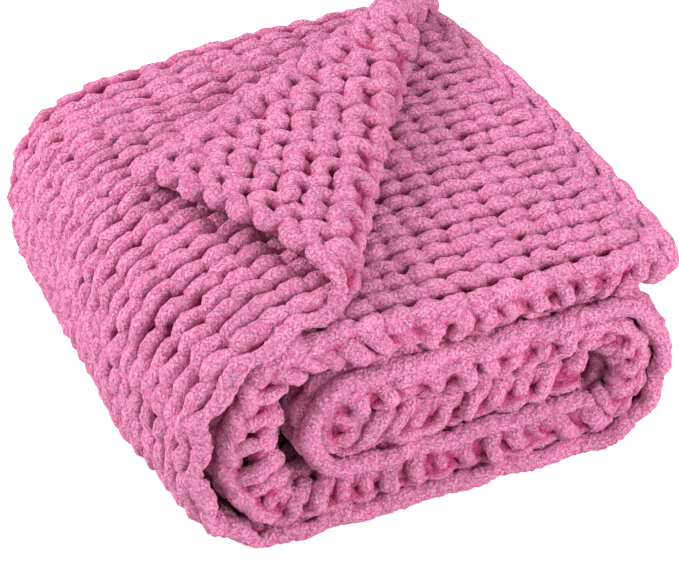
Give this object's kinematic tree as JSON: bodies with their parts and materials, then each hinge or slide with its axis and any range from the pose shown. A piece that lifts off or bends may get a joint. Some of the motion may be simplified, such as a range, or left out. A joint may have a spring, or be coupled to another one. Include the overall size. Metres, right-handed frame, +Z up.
{
  "type": "chunky knit throw blanket",
  "caption": "Chunky chenille knit throw folded in thirds lengthwise, rolled into a flat bundle, with one corner turned back diagonally over the top.",
  "frame": {"origin": "centre of the bundle's box on the surface that it rests on", "axes": "+Z up, X across the roll with the turned back corner's crease starting front left and ending back right, -Y towards the spiral end face"},
  "size_m": [0.4426, 0.4374, 0.2397],
  "materials": {
    "chenille": "soft pile yarn"
  },
  "bodies": {
    "root": {"blanket": "chenille"}
  },
  "joints": []
}
